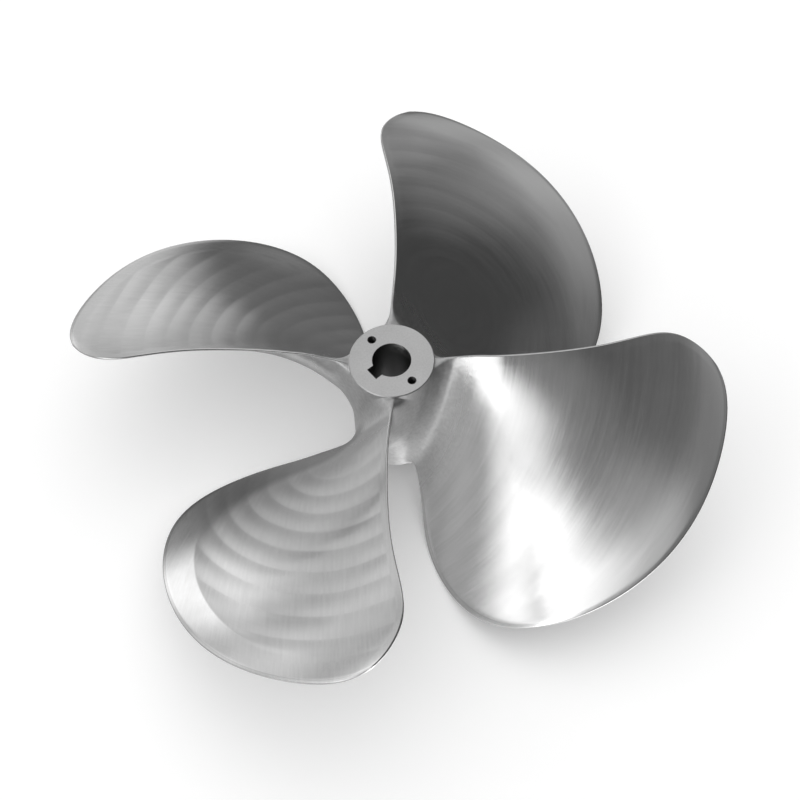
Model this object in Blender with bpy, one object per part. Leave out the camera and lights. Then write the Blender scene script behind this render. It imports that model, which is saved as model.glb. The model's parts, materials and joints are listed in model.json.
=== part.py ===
"""Ship propeller: one right-handed, four-bladed casting with a tapered, keyed bore.

Metres. +Z runs along the shaft and points aft. The origin lies on the shaft's axis, level with the
lowest points of the leading edges, on which the propeller stands.
"""

import math

import bmesh
import bpy
from mathutils import Vector

BLADE_COUNT = 4
TIP_RADIUS = 0.400

# Hub
HUB_RADIUS = 0.0515
HUB_LENGTH = 0.175
HUB_CHAMFER = 0.0010
HUB_SIDES = 72

# Shaft bore, keyway and the two tapped holes for a puller, all open on the aft face
BORE_RADIUS_AFT = 0.0230
BORE_TAPER = 1.0 / 12.0
BORE_SIDES = 48
KEYWAY_WIDTH = 0.016
KEYWAY_DEPTH = 0.0075
KEYWAY_ANGLE = math.radians(-142.0)
PULLER_HOLE_RADIUS = 0.0050
PULLER_HOLE_CIRCLE = 0.0375
PULLER_HOLE_DEPTH = 0.028
PULLER_HOLE_SIDES = 16
DRILL_FLAT = 0.15
DRILL_POINT = 0.5
CUTTER_REACH = 0.010
WELD = 0.00001

# Blade surface, midway through its edges: a helicoid whose pitch is largest at mid-blade, and which
# droops towards the root so that the trailing edge starts level with the hub's aft face
PITCH_LARGEST = 1.098
PITCH_LARGEST_AT = 0.614
PITCH_FALL = 0.906
RAKE_FALL = 0.081
RAKE_LEVEL_AT = 0.636
ROOT_DROOP = 0.0155
ROOT_DROOP_REACH = 0.055
AFT_FACE_BELOW_REFERENCE = 0.0320

# Blade outline seen along the shaft: control points of a cubic B-spline, in millimetres, measured
# out along the blade's reference line and across it, from the trailing edge round to the leading edge
OUTLINE = (
    (-60, 8), (0, 6), (52, 1), (99, -5), (146, -10), (249, -10), (313, 7), (354, 1), (403, -48),
    (373, -159), (315, -239), (225, -287), (128, -291), (68, -244), (29, -156), (34, -66), (0, 10), (0, 70),
)
TIP_AT = 6.6
OUTLINE_STEPS = 24

# Blade thickness, square to its surface. The trailing edge thins quickly outside the hub.
ROOT_THICKNESS = 0.030
TIP_THICKNESS = 0.0045
LEADING_EDGE_AT_HUB = 0.0065
LEADING_EDGE_AT_TIP = 0.0030
TRAILING_EDGE_AT_HUB = 0.0068
TRAILING_EDGE = 0.0026
TRAILING_EDGE_THINS_BY = 0.080
EDGE_SHARE_OF_TIP = 0.4

# Blade root: how far it runs into the hub, the fillets round it and how they fade in from each edge
ROOT_SINK = 0.004
FACE_FILLET = 0.022
EDGE_FILLET = 0.016
FILLET_FROM_TRAILING = 0.007
FILLET_FROM_LEADING = 0.020
FILLET_SUNK = 0.0008
TRAILING_FLARE = 0.08
FACED_BELOW = 0.0014
FACED_TO = 0.055
FACED_RISE = 0.9
FILLET_STATIONS = (0.0, 0.004, 0.0065, 0.0095, 0.0135, 0.019, 0.027)
BLADE_STATIONS = 22
STATION_CROWDING = 1.35
LEADING_LAG = 1.7
TIP_SHORT_OF_END = 0.6
CHORD_STEPS = 13

STEEL_COLOUR = (0.60, 0.61, 0.62, 1.0)
STEEL_ROUGHNESS = 0.34


def clear_scene():
    """Remove every object of the startup scene."""
    for obj in list(bpy.data.objects):
        bpy.data.objects.remove(obj, do_unlink=True)


def steel():
    """The bare ground steel of the whole casting."""
    material = bpy.data.materials.new("ground_steel")
    material.use_nodes = True
    shader = material.node_tree.nodes["Principled BSDF"]
    shader.inputs["Base Color"].default_value = STEEL_COLOUR
    shader.inputs["Metallic"].default_value = 1.0
    shader.inputs["Roughness"].default_value = STEEL_ROUGHNESS
    return material


def outline_path():
    """The outline's points as (radius, angle), from inside the hub, round the tip and back."""
    points = []
    tip_index = 0
    for span in range(len(OUTLINE) - 3):
        corners = [Vector(p) / 1000.0 for p in OUTLINE[span : span + 4]]
        for step in range(OUTLINE_STEPS):
            t = step / OUTLINE_STEPS
            weights = (
                (1 - t) ** 3,
                3 * t**3 - 6 * t**2 + 4,
                -3 * t**3 + 3 * t**2 + 3 * t + 1,
                t**3,
            )
            place = sum((w * c for w, c in zip(weights, corners)), Vector((0.0, 0.0))) / 6.0
            if span + t <= TIP_AT:
                tip_index = len(points)
            points.append((place.length, math.atan2(place.y, place.x)))
    return points, tip_index


def edge_from_root(points):
    """Walk an edge outward: drop what lies deeper in the hub than the blade's root, add distances."""
    root = HUB_RADIUS - ROOT_SINK
    first = max(i for i, point in enumerate(points) if point[0] < root)
    inner, outer = points[first], points[first + 1]
    share = (root - inner[0]) / (outer[0] - inner[0])
    start = (root, inner[1] + share * (outer[1] - inner[1]))
    walked = [(0.0, *start)]
    for radius, angle in points[first + 1 :]:
        distance, last_radius, last_angle = walked[-1]
        step = math.hypot(radius - last_radius, radius * (angle - last_angle))
        walked.append((distance + step, radius, angle))
    return walked


def place_on_edge(edge, distance):
    """The (radius, angle) this far along an edge."""
    for (d0, r0, a0), (d1, r1, a1) in zip(edge, edge[1:]):
        if d1 >= distance:
            share = (distance - d0) / (d1 - d0)
            return r0 + share * (r1 - r0), a0 + share * (a1 - a0)
    return edge[-1][1:]


def mix(a, b, share):
    """The value this share of the way from a to b."""
    return a + (b - a) * share


def pitch(radius):
    """Advance of the blade's surface in one turn, at this radius."""
    return PITCH_LARGEST - PITCH_FALL * (radius / TIP_RADIUS - PITCH_LARGEST_AT) ** 2


def face_height(radius, angle):
    """Height of the blade's surface over its reference plane."""
    rake = -RAKE_FALL * (radius / TIP_RADIUS - RAKE_LEVEL_AT) ** 2
    droop = ROOT_DROOP * max(1.0 - (radius - HUB_RADIUS) / ROOT_DROOP_REACH, 0.0) ** 1.5
    return rake - droop + angle * pitch(radius) / (2 * math.pi)


def fillet_reach(distance, fillet):
    """How far a fillet of this radius stands out, this far above the hub's surface.

    It starts a little below the surface, so that it meets the hub in a clean line.
    """
    drop = fillet - min(max(distance + FILLET_SUNK, 0.0), fillet)
    return fillet - math.sqrt(fillet**2 - drop**2)


def edge_thickness(trailing_radius, leading_radius):
    """The section's thickness at its trailing and at its leading edge."""
    outward = (leading_radius - HUB_RADIUS) / (TIP_RADIUS - HUB_RADIUS)
    leading = mix(LEADING_EDGE_AT_HUB, LEADING_EDGE_AT_TIP, max(outward, 0.0))
    thinned = (trailing_radius - HUB_RADIUS) / (TRAILING_EDGE_THINS_BY - HUB_RADIUS)
    trailing = mix(TRAILING_EDGE_AT_HUB, TRAILING_EDGE, min(max(thinned, 0.0), 1.0))
    return trailing, leading


def section_point(radius, angle, chord, side, edge, width):
    """A point of the blade's skin: chord runs 0 to 1 from trailing to leading edge.

    Side is -1 on the pressure face, +1 on the back and 0 on the edge between them. The fillets are
    pushed round the shaft, and the leading edge's forward along the blade.
    """
    outward = 1.0 - (radius - HUB_RADIUS) / (TIP_RADIUS - HUB_RADIUS)
    rise = max(mix(TIP_THICKNESS, ROOT_THICKNESS, outward) - edge, 0.0) * 4.0 * chord * (1.0 - chord)
    above_hub = radius - HUB_RADIUS
    bulge = side * fillet_reach(above_hub, FACE_FILLET)
    bulge *= mix(1.0, TRAILING_FLARE, math.exp(-chord * width / FILLET_FROM_TRAILING))
    bulge *= 1.0 - math.exp(-(1.0 - chord) * width / FILLET_FROM_LEADING)
    forward = side * edge / 2 + (rise if side > 0 else 0.0)
    aftward = -fillet_reach(above_hub, EDGE_FILLET) * max(2.0 * chord - 1.0, 0.0) ** 3
    slope = math.atan2(pitch(radius), 2 * math.pi * radius)
    around = forward * math.sin(slope) + aftward * math.cos(slope) + bulge
    height = face_height(radius, angle) - forward * math.cos(slope) + aftward * math.sin(slope)
    turned_to = angle + around / radius
    return Vector((radius * math.cos(turned_to), radius * math.sin(turned_to), height))


def below_aft_face(point):
    """Face the root off just below the hub's aft face, and let it rise outside."""
    radius = math.hypot(point.x, point.y)
    limit = -AFT_FACE_BELOW_REFERENCE - FACED_BELOW + FACED_RISE * max(radius - FACED_TO, 0.0)
    point.z = min(point.z, limit)
    return point


def section(trailing, leading):
    """One closed loop of points round the blade, from the trailing edge over the face and back."""
    (r0, a0), (r1, a1) = trailing, leading
    width = math.dist((r0 * math.cos(a0), r0 * math.sin(a0)), (r1 * math.cos(a1), r1 * math.sin(a1)))
    width = math.hypot(width, face_height(r1, a1) - face_height(r0, a0))
    edges = [min(edge, EDGE_SHARE_OF_TIP * width) for edge in edge_thickness(r0, r1)]
    start, stop = 0.5 * edges[0] / width, 1.0 - 0.5 * edges[1] / width
    shares = [0.5 * (1 - math.cos(math.pi * k / CHORD_STEPS)) for k in range(CHORD_STEPS + 1)]
    across = [mix(start, stop, share) for share in shares]
    stops = [(0.0, 0)] + [(c, -1) for c in across] + [(1.0, 0)] + [(c, 1) for c in reversed(across)]
    loop = []
    for chord, side in stops:
        radius, angle = mix(r0, r1, chord), mix(a0, a1, chord)
        point = section_point(radius, angle, chord, side, mix(*edges, chord), width)
        loop.append(below_aft_face(point))
    return loop


def blade_sections():
    """Every section of the blade, from inside the hub to the tip."""
    points, tip_index = outline_path()
    trailing = edge_from_root(points[: tip_index + 1])
    leading = edge_from_root(points[: tip_index - 1 : -1])
    short, long = trailing[-1][0], leading[-1][0]
    places = list(FILLET_STATIONS)
    for k in range(1, BLADE_STATIONS + 1):
        share = 1 - (1 - k / (BLADE_STATIONS + TIP_SHORT_OF_END)) ** STATION_CROWDING
        places.append(mix(FILLET_STATIONS[-1], short, share))
    loops = []
    for place in places:
        share = place / short
        along_leading = place + (long - short) * share**LEADING_LAG
        loops.append(section(place_on_edge(trailing, place), place_on_edge(leading, along_leading)))
    return loops


def mesh_from_loops(name, loops):
    """Bridge closed loops of equal length into one capped skin."""
    bm = bmesh.new()
    rings = [[bm.verts.new(point) for point in loop] for loop in loops]
    for low, high in zip(rings, rings[1:]):
        for k in range(len(low)):
            after = (k + 1) % len(low)
            bm.faces.new((low[k], low[after], high[after], high[k]))
    caps = [bm.faces.new(rings[0]), bm.faces.new(rings[-1])]
    bmesh.ops.triangulate(bm, faces=caps, ngon_method="EAR_CLIP")
    bmesh.ops.recalc_face_normals(bm, faces=bm.faces)
    mesh = bpy.data.meshes.new(name)
    bm.to_mesh(mesh)
    bm.free()
    return mesh


def turned(name, profile, sides):
    """A solid of revolution about Z from (radius, height) pairs, bottom to top, closed at both ends."""
    bm = bmesh.new()
    line = [bm.verts.new((0.0, 0.0, profile[0][1]))]
    line += [bm.verts.new((radius, 0.0, height)) for radius, height in profile]
    line.append(bm.verts.new((0.0, 0.0, profile[-1][1])))
    edges = [bm.edges.new(pair) for pair in zip(line, line[1:])]
    bmesh.ops.spin(bm, geom=line + edges, axis=(0, 0, 1), cent=(0, 0, 0), angle=2 * math.pi, steps=sides)
    bmesh.ops.remove_doubles(bm, verts=bm.verts, dist=WELD)
    bmesh.ops.recalc_face_normals(bm, faces=bm.faces)
    mesh = bpy.data.meshes.new(name)
    bm.to_mesh(mesh)
    bm.free()
    return mesh


def add_object(name, mesh, turn=0.0):
    """Link a new object, turned about Z."""
    obj = bpy.data.objects.new(name, mesh)
    obj.rotation_euler.z = turn
    bpy.context.scene.collection.objects.link(obj)
    return obj


def helper(obj):
    """Mark a shape that only a Boolean uses."""
    obj.hide_render = True
    obj.display_type = "WIRE"
    return obj


def combine(obj, other, operation):
    """Add a Boolean with another object."""
    modifier = obj.modifiers.new(other.name, "BOOLEAN")
    modifier.operation = operation
    modifier.solver = "EXACT"
    modifier.object = helper(other)


def hub_mesh(aft_height):
    """The hub's barrel with a chamfer at each end."""
    forward = aft_height - HUB_LENGTH
    profile = (
        (HUB_RADIUS - HUB_CHAMFER, forward),
        (HUB_RADIUS, forward + HUB_CHAMFER),
        (HUB_RADIUS, aft_height - HUB_CHAMFER),
        (HUB_RADIUS - HUB_CHAMFER, aft_height),
    )
    return turned("propeller", profile, HUB_SIDES)


def bore_cutter(aft_height):
    """The tapered bore, widening forward."""
    growth = BORE_TAPER / 2
    low = aft_height - HUB_LENGTH - CUTTER_REACH
    high = aft_height + CUTTER_REACH
    profile = (
        (BORE_RADIUS_AFT + growth * (aft_height - low), low),
        (BORE_RADIUS_AFT - growth * CUTTER_REACH, high),
    )
    return add_object("bore_cutter", turned("bore_cutter", profile, BORE_SIDES))


def keyway_cutter(aft_height):
    """The keyway's slot, whose floor follows the bore's taper."""
    growth = BORE_TAPER / 2
    half = KEYWAY_WIDTH / 2
    loops = []
    for height in (aft_height - HUB_LENGTH - CUTTER_REACH, aft_height + CUTTER_REACH):
        floor = BORE_RADIUS_AFT + KEYWAY_DEPTH + growth * (aft_height - height)
        inside = BORE_RADIUS_AFT / 2
        corners = ((inside, -half), (floor, -half), (floor, half), (inside, half))
        loops.append([Vector((x, y, height)) for x, y in corners])
    return add_object("keyway_cutter", mesh_from_loops("keyway_cutter", loops), KEYWAY_ANGLE)


def puller_hole_cutter(name, aft_height, turn):
    """One blind hole, a quarter turn from the keyway."""
    floor = aft_height - PULLER_HOLE_DEPTH
    profile = (
        (DRILL_FLAT * PULLER_HOLE_RADIUS, floor - DRILL_POINT * PULLER_HOLE_RADIUS),
        (PULLER_HOLE_RADIUS, floor),
        (PULLER_HOLE_RADIUS, aft_height + CUTTER_REACH),
    )
    cutter = add_object(name, turned(name, profile, PULLER_HOLE_SIDES), turn)
    cutter.location = (PULLER_HOLE_CIRCLE * math.cos(turn), PULLER_HOLE_CIRCLE * math.sin(turn), 0.0)
    return cutter


def build():
    """Model the casting as one object."""
    clear_scene()
    sections = blade_sections()
    reference_height = -min(point.z for loop in sections for point in loop)
    for loop in sections:
        for point in loop:
            point.z += reference_height
    blade = mesh_from_loops("blade", sections)
    aft_height = reference_height - AFT_FACE_BELOW_REFERENCE

    propeller = add_object("propeller", hub_mesh(aft_height))
    for k in range(BLADE_COUNT):
        combine(propeller, add_object(f"blade_{k + 1}", blade, 2 * math.pi * k / BLADE_COUNT), "UNION")
    combine(propeller, bore_cutter(aft_height), "DIFFERENCE")
    combine(propeller, keyway_cutter(aft_height), "DIFFERENCE")
    for k, side in enumerate((-1, 1)):
        turn = KEYWAY_ANGLE + side * math.pi / 2
        combine(propeller, puller_hole_cutter(f"puller_hole_cutter_{k + 1}", aft_height, turn), "DIFFERENCE")
    propeller.data.materials.append(steel())
    propeller.data.shade_smooth()
    propeller.data.set_sharp_from_angle(angle=math.radians(35.0))
    print(f"aft face {aft_height:.5f} forward face {aft_height - HUB_LENGTH:.5f}")


build()
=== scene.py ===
"""Looks of a four-bladed ship propeller: one ground steel casting on a pale floor in soft light.

Metres, +Z along the shaft and pointing aft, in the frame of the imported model. The casting is one closed
skin: every blade is a grid of sections that flows through its fillet into the hub's barrel.
"""

import json
import logging
import math
from bisect import bisect
from collections.abc import Sequence
from dataclasses import dataclass, field, replace
from enum import Enum
from functools import reduce

import bmesh
import bpy
from mathutils import Matrix, Vector


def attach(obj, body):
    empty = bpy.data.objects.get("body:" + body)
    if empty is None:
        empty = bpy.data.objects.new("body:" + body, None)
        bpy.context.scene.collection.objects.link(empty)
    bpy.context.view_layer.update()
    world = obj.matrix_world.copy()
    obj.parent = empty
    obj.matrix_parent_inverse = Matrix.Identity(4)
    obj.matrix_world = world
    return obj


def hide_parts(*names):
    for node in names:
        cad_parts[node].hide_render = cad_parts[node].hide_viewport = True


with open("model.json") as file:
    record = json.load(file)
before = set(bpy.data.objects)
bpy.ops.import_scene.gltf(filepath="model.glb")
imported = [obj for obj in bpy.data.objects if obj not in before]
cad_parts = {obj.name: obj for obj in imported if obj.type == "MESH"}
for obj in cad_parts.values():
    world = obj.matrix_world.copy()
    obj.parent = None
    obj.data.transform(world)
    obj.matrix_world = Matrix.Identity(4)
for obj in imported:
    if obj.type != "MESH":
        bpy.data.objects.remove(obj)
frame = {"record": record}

LOG = logging.getLogger("propeller")
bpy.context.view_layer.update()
NODE = "propeller"
MM = 0.001
SKIN_LAYERS = ("rim", "lead", "across", "along", "ripple")
FAR_FROM_EDGE = 0.1
SENSOR_MM = 36.0

Vert = bmesh.types.BMVert
Socket = bpy.types.NodeSocket
Range = tuple[float, float]
RISING: Range = (0.0, 1.0)
FALLING: Range = (1.0, 0.0)


class Side(Enum):
    """The two faces of a blade."""

    PRESSURE = -1
    BACK = 1


class Zone(Enum):
    """Surfaces of the casting, in the order of its material slots."""

    GROUND = 0
    TURNED = 1
    BORED = 2
    TAPPED = 3


def mount_height(name: str) -> float:
    """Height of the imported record's mount of this name, in metres."""
    mounts = frame["record"]["mounts"]
    return next(mount["pos_m"][2] for mount in mounts if mount["name"] == name)


def mix(a: float, b: float, share: float) -> float:
    """The value this share of the way from a to b."""
    return a + (b - a) * share


def ease(low: float, high: float, value: float) -> float:
    """A smooth step that rises from 0 at low to 1 at high."""
    t = min(max((value - low) / (high - low), 0.0), 1.0)
    return t * t * (3.0 - 2.0 * t)


def bearings(low: float, high: float) -> Range:
    """A span round the shaft, given in degrees."""
    return math.radians(low), math.radians(high)


@dataclass(frozen=True)
class Mottle:
    """A noise: how many patches there are to a unit, and how much finer and rougher detail."""

    scale: float
    detail: float = 2.0
    roughness: float = 0.5


@dataclass
class EdgePoint:
    """A place on the blade's outline, seen along the shaft."""

    distance: float
    radius: float
    angle: float


@dataclass
class Rung:
    """One section of the blade, from its trailing to its leading edge."""

    trailing: EdgePoint
    leading: EdgePoint
    width: float
    tip_gap: float
    trailing_slant: float
    leading_slant: float


@dataclass
class SkinPoint:
    """A point of a blade's skin, with what its finish needs to know."""

    place: Vector
    rim: float
    lead: float


@dataclass
class Passes:
    """The arcs in which one blade was ground."""

    centre: tuple[float, float]
    strength: float


@dataclass
class Blade:
    """A right-handed blade, drawn with its reference line along +X."""

    hub_radius: float
    aft_height: float
    tip_radius: float = 0.400
    outline: Sequence[tuple[float, float]] = (
        (-60, 8), (0, 6), (52, 1), (99, -5), (146, -10), (249, -10), (313, 7), (354, 1), (403, -48),
        (373, -159), (315, -239), (225, -287), (128, -291), (68, -244), (29, -156), (34, -66), (0, 10),
        (0, 70),
    )
    tip_at: float = 6.6
    outline_steps: int = 60
    pitch_largest: float = 1.098
    pitch_largest_at: float = 0.614
    pitch_fall: float = 0.906
    rake_fall: float = 0.081
    rake_level_at: float = 0.636
    root_droop: float = 0.0155
    root_droop_reach: float = 0.055
    root_droop_curve: float = 1.5
    reference_above_aft: float = 0.0320
    root_thickness: float = 0.030
    tip_thickness: float = 0.0045
    leading_edge_at_hub: float = 0.0065
    leading_edge_at_tip: float = 0.0030
    trailing_edge_at_hub: float = 0.0068
    trailing_edge: float = 0.0026
    trailing_edge_thins_by: float = 0.080
    leading_relief: float = 0.0005
    leading_relief_width: float = 0.0065
    leading_relief_curve: float = 1.5
    trailing_relief: float = 0.0003
    trailing_relief_width: float = 0.0105
    face_fillet: float = 0.022
    edge_fillet: float = 0.016
    fillet_from_trailing: float = 0.007
    fillet_from_leading: float = 0.020
    trailing_flare: float = 0.08
    faced_below: float = 0.0014
    faced_to: float = 0.055
    faced_rise: float = 0.9
    fillet_rungs: int = 13
    open_rungs: int = 92
    rung_crowding: float = 1.3
    leading_lag: float = 1.7
    chord_steps: int = 62
    nose_steps: int = 6
    nose_share: float = 0.25
    least_slant: float = 0.05
    tip_fade: float = 0.012
    tip_rounding: float = 0.0003
    trailing_meets_tip: Range = (0.9, 1.0)

    def outline_path(self) -> tuple[list[tuple[float, float]], int]:
        """Walk the outline's cubic B-spline.

        Returns:
            Its points as (radius, angle), from inside the hub, round the tip and back, and which one
            is the tip.
        """
        points = []
        tip = 0
        for span in range(len(self.outline) - 3):
            corners = [Vector(p) * MM for p in self.outline[span : span + 4]]
            for step in range(self.outline_steps):
                t = step / self.outline_steps
                weights = ((1 - t) ** 3, 3 * t**3 - 6 * t**2 + 4, -3 * t**3 + 3 * t**2 + 3 * t + 1, t**3)
                place = sum((w * c for w, c in zip(weights, corners)), Vector((0.0, 0.0))) / 6.0
                if span + t <= self.tip_at:
                    tip = len(points)
                points.append((place.length, math.atan2(place.y, place.x)))
        return points, tip

    def edge_from_hub(self, points: Sequence[tuple[float, float]]) -> list[EdgePoint]:
        """Measure an edge outward from the hub's surface.

        Args:
            points: (radius, angle) pairs from inside the hub to the tip.

        Returns:
            The edge's points, with distances along it.
        """
        first = max(i for i, point in enumerate(points) if point[0] < self.hub_radius)
        inner, outer = points[first], points[first + 1]
        share = (self.hub_radius - inner[0]) / (outer[0] - inner[0])
        walked = [EdgePoint(0.0, self.hub_radius, mix(inner[1], outer[1], share))]
        for radius, angle in points[first + 1 :]:
            last = walked[-1]
            step = math.hypot(radius - last.radius, radius * (angle - last.angle))
            walked.append(EdgePoint(last.distance + step, radius, angle))
        return walked

    @staticmethod
    def on_edge(edge: Sequence[EdgePoint], distance: float) -> EdgePoint:
        """Find the place this far along an edge.

        Args:
            edge: the edge's measured points.
            distance: how far along it, from the hub's surface.

        Returns:
            The place.
        """
        beyond = bisect(edge, distance, key=lambda point: point.distance)
        beyond = min(max(beyond, 1), len(edge) - 1)
        a, b = edge[beyond - 1], edge[beyond]
        share = min((distance - a.distance) / (b.distance - a.distance), 1.0)
        return EdgePoint(distance, mix(a.radius, b.radius, share), mix(a.angle, b.angle, share))

    def pitch(self, radius: float) -> float:
        """Advance of the pressure face in one turn, at this radius."""
        return self.pitch_largest - self.pitch_fall * (radius / self.tip_radius - self.pitch_largest_at) ** 2

    def highest(self, radius: float) -> float:
        """The greatest height of the blade here, as it is faced off with the hub's aft end."""
        return self.aft_height - self.faced_below + self.faced_rise * max(radius - self.faced_to, 0.0)

    def face_height(self, radius: float, angle: float) -> float:
        """Height of the blade's helical surface.

        Args:
            radius: distance from the shaft's axis.
            angle: angle from the blade's reference line.

        Returns:
            The height, in metres.
        """
        rake = -self.rake_fall * (radius / self.tip_radius - self.rake_level_at) ** 2
        rootward = max(1.0 - (radius - self.hub_radius) / self.root_droop_reach, 0.0)
        rake -= self.root_droop * rootward**self.root_droop_curve
        advance = angle * self.pitch(radius) / (2 * math.pi)
        return self.aft_height + self.reference_above_aft + rake + advance

    def on_face(self, radius: float, angle: float) -> Vector:
        """The pressure face's point at this radius and angle."""
        return Vector((radius * math.cos(angle), radius * math.sin(angle), self.face_height(radius, angle)))

    def rungs(self) -> list[Rung]:
        """Lay the sections out from the hub's surface to the tip.

        Returns:
            The sections, the last one just short of the tip.
        """
        points, tip = self.outline_path()
        trailing = self.edge_from_hub(points[: tip + 1])
        leading = self.edge_from_hub(points[: tip - 1 : -1])
        tip_place = self.on_face(*points[tip])
        short, long = trailing[-1].distance, leading[-1].distance
        places = []
        for k in range(self.fillet_rungs):
            turn = 0.5 * math.pi * (1.0 - k / self.fillet_rungs)
            places.append(self.face_fillet * (1.0 - math.sin(turn)))
        start = self.face_fillet
        for k in range(self.open_rungs):
            share = 1.0 - (1.0 - k / self.open_rungs) ** self.rung_crowding
            places.append(start + share * (short - start))
        rungs = []
        for place in places:
            along = place + (long - short) * (place / short) ** self.leading_lag
            rungs.append(self.rung(trailing, leading, place, along, tip_place))
        return rungs

    def rung(self, trailing: Sequence[EdgePoint], leading: Sequence[EdgePoint], place: float, along: float,
             tip_place: Vector) -> Rung:
        """Measure one section.

        Args:
            trailing: the trailing edge.
            leading: the leading edge.
            place: the section's distance along the trailing edge.
            along: its distance along the leading edge.
            tip_place: the tip's point on the pressure face.

        Returns:
            The section's ends, width, distance from the tip, and the slant of each edge across it.
        """
        ends = (self.on_edge(trailing, place), self.on_edge(leading, along))
        a, b = (self.on_face(end.radius, end.angle) for end in ends)
        slants = []
        for edge, end, point in ((trailing, ends[0], a), (leading, ends[1], b)):
            other = self.on_edge(edge, end.distance - MM if end.distance > MM else 2 * MM)
            tangent = self.on_face(other.radius, other.angle) - point
            slant = tangent.normalized().cross((b - a).normalized()).length
            slants.append(max(slant, self.least_slant))
        return Rung(ends[0], ends[1], (b - a).length, ((a + b) / 2 - tip_place).length, slants[0], slants[1])

    def edge_thickness(self, rung: Rung, at_leading: bool) -> float:
        """Thickness of a section's rounded edge, thinning to nothing at the tip.

        Args:
            rung: the section.
            at_leading: whether it is the leading edge.

        Returns:
            The thickness.
        """
        if at_leading:
            outward = (rung.leading.radius - self.hub_radius) / (self.tip_radius - self.hub_radius)
            edge = mix(self.leading_edge_at_hub, self.leading_edge_at_tip, outward)
        else:
            thinned = ease(self.hub_radius, self.trailing_edge_thins_by, rung.trailing.radius)
            edge = mix(self.trailing_edge_at_hub, self.trailing_edge, thinned)
            outward = rung.trailing.radius / self.tip_radius
            edge = mix(edge, self.leading_edge_at_tip, ease(*self.trailing_meets_tip, outward))
        gap = min(rung.tip_gap, edge / 2)
        return 2.0 * math.sqrt(edge * gap - gap * gap)

    def relief(self, rim_from_trailing: float, rim_from_leading: float) -> float:
        """How far the pressure face stands proud of its edges' ground margins.

        Args:
            rim_from_trailing: distance from the trailing edge.
            rim_from_leading: distance from the leading edge.

        Returns:
            The distance, square to the face.
        """
        to_trailing = 1.0 - min(rim_from_trailing / self.trailing_relief_width, 1.0)
        to_leading = 1.0 - min(rim_from_leading / self.leading_relief_width, 1.0)
        full = self.trailing_relief + self.leading_relief
        leading = self.leading_relief * to_leading**self.leading_relief_curve
        return full - self.trailing_relief * to_trailing - leading

    def fillet_reach(self, above: float, fillet: float) -> float:
        """How far a fillet stands out, this far above the hub's surface."""
        drop = fillet - min(max(above, 0.0), fillet)
        return fillet - math.sqrt(fillet**2 - drop**2)

    def bulge(self, rung: Rung, along: float, above: float) -> float:
        """How far the root's fillet pushes a face round the shaft.

        Args:
            rung: the section.
            along: distance from the trailing edge, across the section.
            above: height above the hub's surface.

        Returns:
            The distance, which fades towards both edges.
        """
        trailing = mix(1.0, self.trailing_flare, math.exp(-max(along, 0.0) / self.fillet_from_trailing))
        leading = 1.0 - math.exp(-(rung.width - along) / self.fillet_from_leading)
        return self.fillet_reach(above, self.face_fillet) * trailing * leading

    def thickest(self, radius: float) -> float:
        """Greatest thickness of the section at this radius."""
        outward = 1.0 - (radius - self.hub_radius) / (self.tip_radius - self.hub_radius)
        return mix(self.tip_thickness, self.root_thickness, outward)

    def skin(self, rung: Rung, along: float, forward: float, aftward: float,
             level: float = 0.0) -> SkinPoint:
        """Stand a point off the blade's helical surface.

        Args:
            rung: the section.
            along: distance from the trailing edge, across the section.
            forward: how far the point lies through the blade, square to the face.
            aftward: how far it is pushed along the face towards the trailing edge.
            level: how far it is pushed round the shaft, at its own height.

        Returns:
            The skin's point.
        """
        share = along / rung.width
        radius = mix(rung.trailing.radius, rung.leading.radius, share)
        angle = mix(rung.trailing.angle, rung.leading.angle, share)
        slope = math.atan2(self.pitch(radius), 2 * math.pi * radius)
        around = forward * math.sin(slope) + aftward * math.cos(slope) + level
        height = self.face_height(radius, angle) - forward * math.cos(slope) + aftward * math.sin(slope)
        turned = angle + around / radius
        place = Vector((radius * math.cos(turned), radius * math.sin(turned), height))
        lead = max((rung.width - along) * rung.leading_slant, 0.0)
        return SkinPoint(place, min(max(along * rung.trailing_slant, 0.0), lead), lead)

    def face_line(self, rung: Rung, side: Side) -> list[SkinPoint]:
        """One face of a section, from the trailing to the leading edge.

        Args:
            rung: the section.
            side: which face.

        Returns:
            Its points.
        """
        edges = self.edge_thickness(rung, at_leading=False), self.edge_thickness(rung, at_leading=True)
        start = min(0.5 * edges[0] / rung.trailing_slant, self.nose_share * rung.width)
        stop = rung.width - min(0.5 * edges[1] / rung.leading_slant, self.nose_share * rung.width)
        swell_fade = 1.0 - math.exp(-rung.tip_gap / self.tip_fade)
        line = []
        for k in range(self.chord_steps + 1):
            share = 0.5 * (1.0 - math.cos(math.pi * k / self.chord_steps))
            radius = mix(rung.trailing.radius, rung.leading.radius, share)
            edge = mix(edges[0], edges[1], share)
            along = mix(start, stop, share)
            above = radius - self.hub_radius
            bulge = self.bulge(rung, along, above)
            aftward = -self.fillet_reach(above, self.edge_fillet) * max(2.0 * share - 1.0, 0.0) ** 3
            rise = max(self.thickest(radius) - edge, 0.0) * swell_fade * 4.0 * share * (1.0 - share)
            relief = swell_fade * self.relief((along - start) * rung.trailing_slant,
                                              (stop - along) * rung.leading_slant)
            forward = edge / 2 + rise if side is Side.BACK else -edge / 2 - relief
            line.append(self.skin(rung, along, forward, aftward, side.value * bulge))
        return line

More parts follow.
